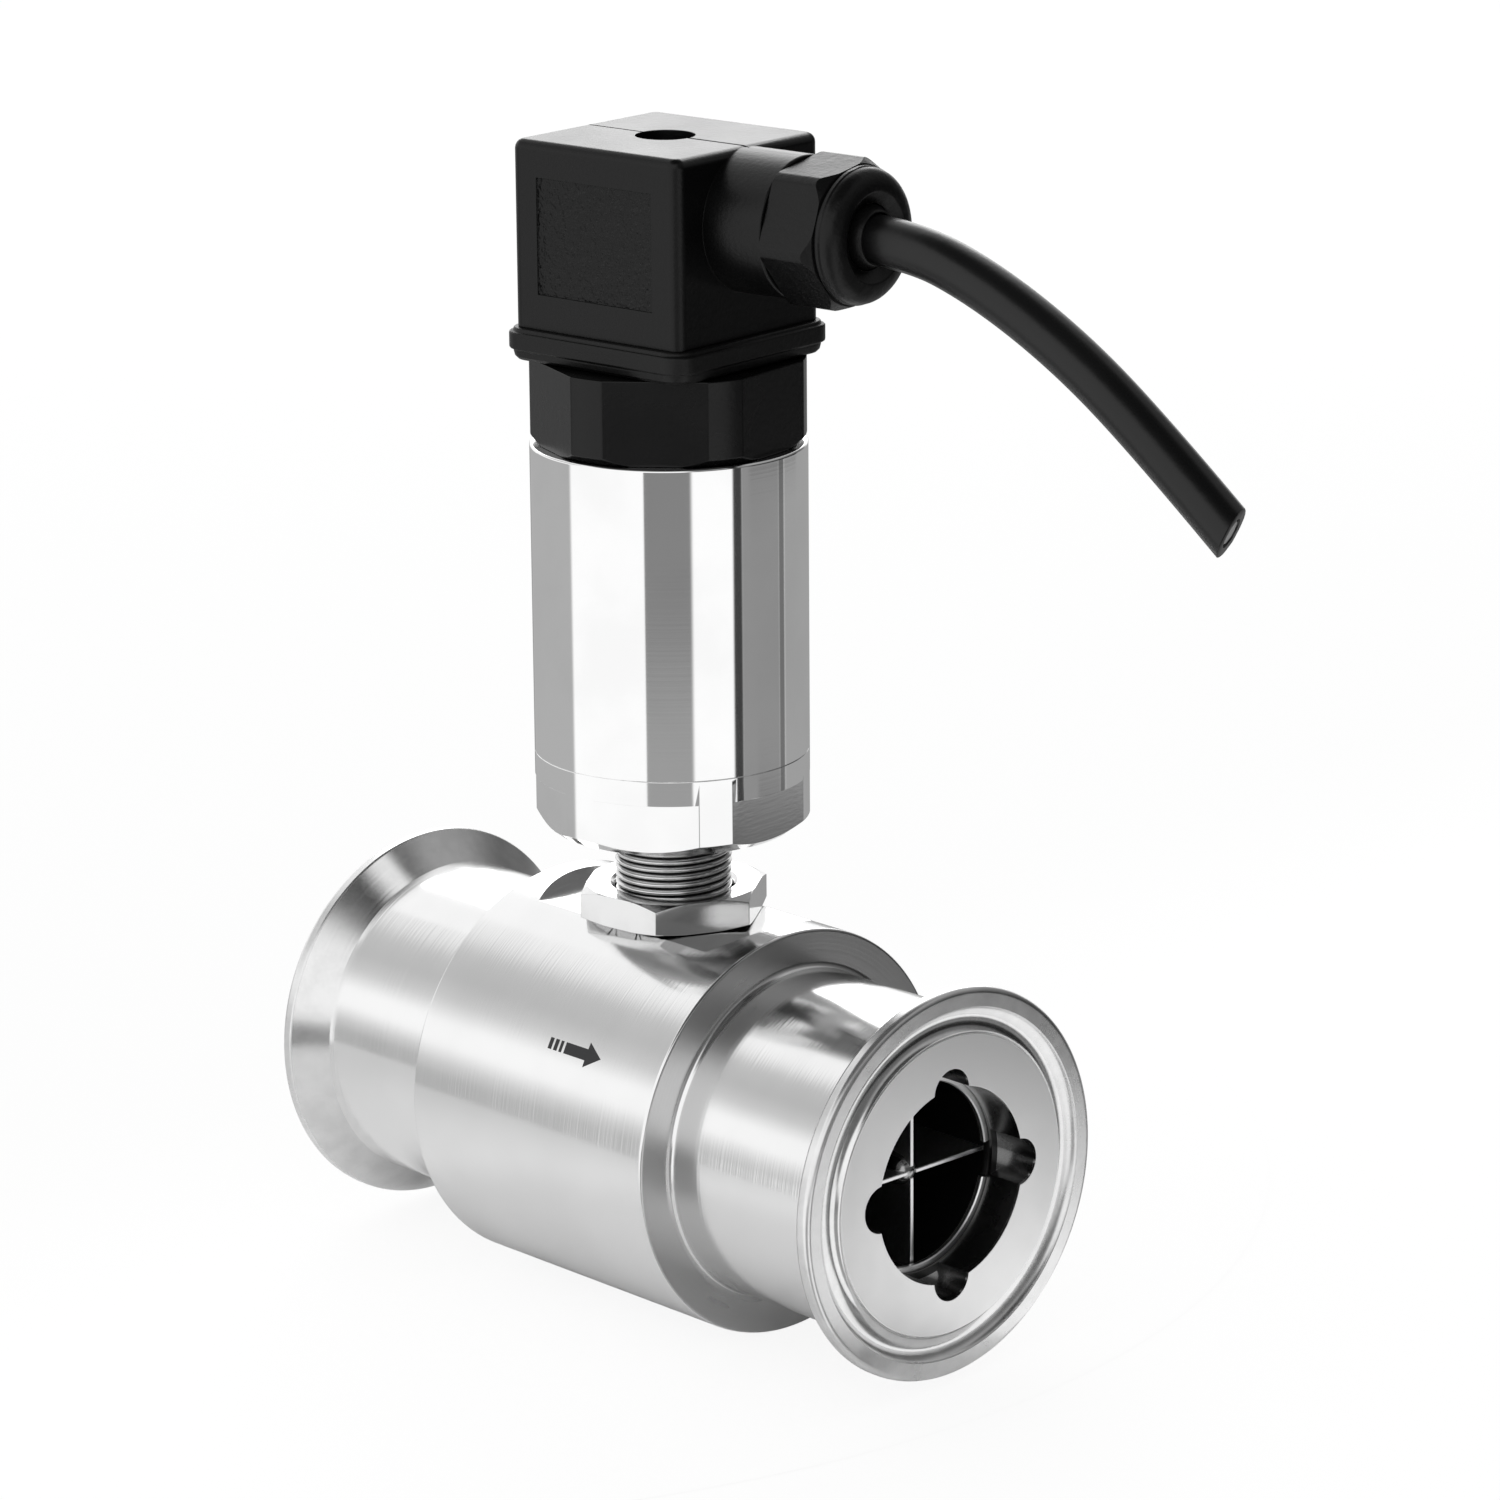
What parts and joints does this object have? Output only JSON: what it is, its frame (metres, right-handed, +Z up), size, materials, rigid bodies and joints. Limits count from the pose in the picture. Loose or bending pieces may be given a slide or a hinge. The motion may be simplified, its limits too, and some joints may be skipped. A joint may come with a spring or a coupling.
{
  "type": "turbine flow meter",
  "caption": "In-line turbine flow meter with clamp ferrules, a screwed-in magnetic pickup in a round steel housing, and a square cable plug.",
  "frame": {"origin": "centre of the inlet ferrule's face, on the pipe axis", "axes": "+X along the pipe with the flow, +Z up along the pickup head"},
  "size_m": [0.1383, 0.053, 0.1523],
  "materials": {
    "polished_steel": "polished",
    "satin_steel": "satin",
    "rotor_steel": "machined",
    "spring_steel": "polished",
    "hard_metal": "ground",
    "soft_iron": "machined",
    "zinc_steel": "zinc plated",
    "brass": "machined",
    "tinned_brass": "tin plated",
    "copper_wire": "enamelled",
    "magnet": "sintered",
    "black_plastic": "moulded, fine texture",
    "grey_plastic": "moulded",
    "ivory_plastic": "moulded",
    "component_plastic": "moulded",
    "circuit_board": "solder mask",
    "wire_insulation": "smooth",
    "cable_sheath": "semi-gloss",
    "black_rubber": "matt"
  },
  "bodies": {
    "meter": {"meter_body": "polished_steel", "inlet_ferrule": "polished_steel", "inlet_retaining_ring": "spring_steel", "inlet_straightener_hub": "satin_steel", "inlet_straightener_vanes": "satin_steel", "inlet_shaft_bush": "hard_metal", "inlet_thrust_pad": "hard_metal", "outlet_ferrule": "polished_steel", "outlet_retaining_ring": "spring_steel", "outlet_straightener_hub": "satin_steel", "outlet_straightener_vanes": "satin_steel", "outlet_shaft_bush": "hard_metal", "outlet_thrust_pad": "hard_metal"},
    "rotor": {"rotor": "rotor_steel", "rotor_shaft": "hard_metal"},
    "lock_nut": {"lock_nut": "polished_steel"},
    "pickup": {"pickup_stem": "polished_steel", "housing_sleeve": "polished_steel", "pole_piece": "soft_iron", "coil_bobbin": "ivory_plastic", "coil_winding": "copper_wire", "magnet": "magnet", "magnet_spacer": "brass", "coil_leads": "wire_insulation", "board_holder": "ivory_plastic", "circuit_board": "circuit_board", "board_components": "component_plastic", "board_leads": "wire_insulation", "connector_base": "black_plastic", "contact_pins": "tinned_brass", "insert_nut": "brass", "profile_gasket": "black_rubber"},
    "plug": {"plug_housing": "black_plastic", "terminal_block": "grey_plastic", "plug_contacts": "tinned_brass", "terminal_screws": "zinc_steel", "screw_seal": "black_rubber", "gland_washer": "ivory_plastic", "gland_seal": "black_rubber", "cable": "cable_sheath"},
    "fixing_screw": {"fixing_screw": "zinc_steel"},
    "gland_nut": {"gland_nut": "black_plastic"}
  },
  "joints": [
    {"name": "rotor_spin", "type": "hinge", "parent": "meter", "child": "rotor", "pos_m": [0.05, 0, 0], "axis": [1, 0, 0], "continuous": true},
    {"name": "lock_nut_turn", "type": "hinge", "parent": "meter", "child": "lock_nut", "pos_m": [0.05, 0, 0.027], "axis": [0, 0, 1], "range_deg": [0, 345]},
    {"name": "pickup_turn", "type": "hinge", "parent": "meter", "child": "pickup", "pos_m": [0.05, 0, 0.04], "axis": [0, 0, 1], "range_deg": [-180, 180]},
    {"name": "plug_pull", "type": "slide", "parent": "pickup", "child": "plug", "axis": [0, 0, 1], "range_m": [0, 0.012]},
    {"name": "fixing_screw_turn", "type": "hinge", "parent": "plug", "child": "fixing_screw", "pos_m": [0.05, 0, 0.11], "axis": [0, 0, 1], "continuous": true},
    {"name": "gland_nut_turn", "type": "hinge", "parent": "plug", "child": "gland_nut", "pos_m": [0.07685, 0.00282, 0.1166], "axis": [0.9945, 0.1045, 0], "range_deg": [-345, 0]}
  ]
}
